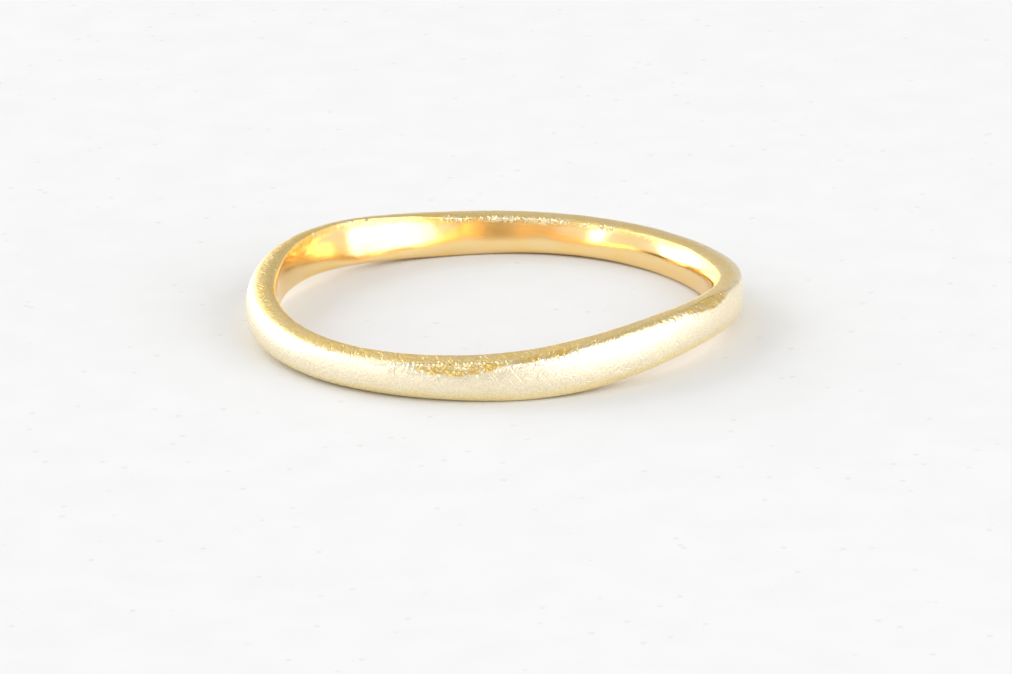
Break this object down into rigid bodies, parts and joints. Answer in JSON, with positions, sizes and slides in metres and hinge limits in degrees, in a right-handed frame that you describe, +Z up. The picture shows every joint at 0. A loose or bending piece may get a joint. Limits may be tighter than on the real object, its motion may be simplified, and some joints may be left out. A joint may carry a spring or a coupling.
{
  "type": "stackable ring",
  "caption": "Slim hand-forged gold band with a gently waving edge, worn alone or stacked with other thin rings on one finger.",
  "frame": {"origin": "on the table, under the centre of the ring, where the finger's axis meets the surface the ring lies on", "axes": "+Z up along the finger's axis, square to the table; +X to the wearer's right of the view, +Y away from it"},
  "size_m": [0.0199, 0.02, 0.0024],
  "materials": {
    "gold": "18 carat yellow gold: cross-brushed satin outside and on the rims, polished bore"
  },
  "bodies": {
    "root": {"band": "gold"}
  },
  "joints": []
}
